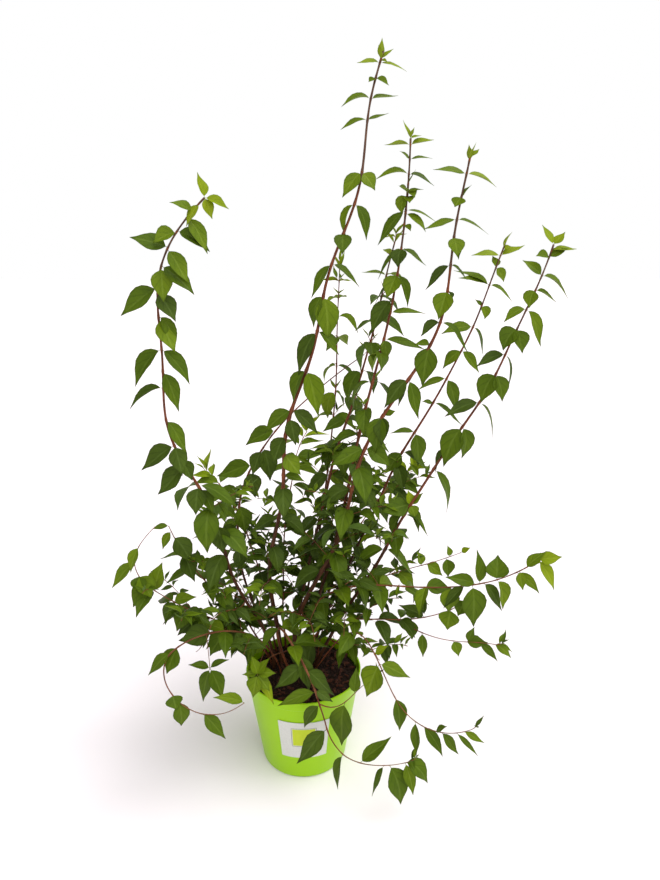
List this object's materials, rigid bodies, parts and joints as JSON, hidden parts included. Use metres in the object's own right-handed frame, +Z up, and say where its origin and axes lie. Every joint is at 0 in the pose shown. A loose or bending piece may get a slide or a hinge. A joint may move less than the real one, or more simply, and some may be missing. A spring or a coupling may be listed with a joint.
{
  "type": "potted sweet mock orange shrub",
  "caption": "Tall leafy garden shrub with long arching red-brown canes and opposite pointed leaves, planted in a round tapered nursery pot that stands on its flat base.",
  "frame": {"origin": "centre of the pot's flat underside, which lies in the plane z = 0", "axes": "+Z up along the pot's axis; the labelled front of the pot, seen in the picture, faces -Y; +X to the right of someone who looks at that front"},
  "size_m": [0.6266, 0.4594, 1.1006],
  "materials": {
    "pot_plastic": "lime green injection-moulded polypropylene, glossy",
    "potting_soil": "dark brown moist bark and peat, rough and matt",
    "label_paper": "plain white coated paper label with one plain lime square",
    "bark": "smooth red-brown young bark, satin",
    "leaves": "mid green opaque leaves with a soft sheen, yellow-green at the shoot tips"
  },
  "bodies": {
    "root": {"pot": "pot_plastic", "soil": "potting_soil", "label": "label_paper", "cane_tall": "bark", "foliage_tall": "leaves", "cane_second": "bark", "foliage_second": "leaves", "cane_third": "bark", "foliage_third": "leaves", "cane_fourth": "bark", "foliage_fourth": "leaves", "cane_fifth": "bark", "foliage_fifth": "leaves", "cane_rear": "bark", "foliage_rear": "leaves", "cane_thin": "bark", "foliage_thin": "leaves", "cane_left_arch": "bark", "foliage_left_arch": "leaves", "cane_crossing": "bark", "foliage_crossing": "leaves", "shoot_reaching": "bark", "foliage_reaching": "leaves", "shoot_nodding": "bark", "foliage_nodding": "leaves", "shoot_right_upper": "bark", "foliage_right_upper": "leaves", "shoot_hanging": "bark", "foliage_hanging": "leaves", "shoot_front": "bark", "foliage_front": "leaves", "shoot_left_low": "bark", "foliage_left_low": "leaves", "shoot_left_curl": "bark", "foliage_left_curl": "leaves", "shoot_left_upper": "bark", "foliage_left_upper": "leaves", "shoot_back_left": "bark", "foliage_back_left": "leaves", "shoot_back": "bark", "foliage_back": "leaves", "shoot_back_right": "bark", "foliage_back_right": "leaves", "foliage_front_end": "leaves", "foliage_left_end": "leaves", "foliage_side_1": "leaves", "foliage_side_2": "leaves", "foliage_side_3": "leaves", "foliage_side_4": "leaves", "foliage_side_5": "leaves", "foliage_side_6": "leaves", "foliage_side_7": "leaves", "foliage_side_8": "leaves", "foliage_side_9": "leaves", "foliage_side_10": "leaves", "foliage_side_11": "leaves", "foliage_side_12": "leaves"}
  },
  "joints": []
}
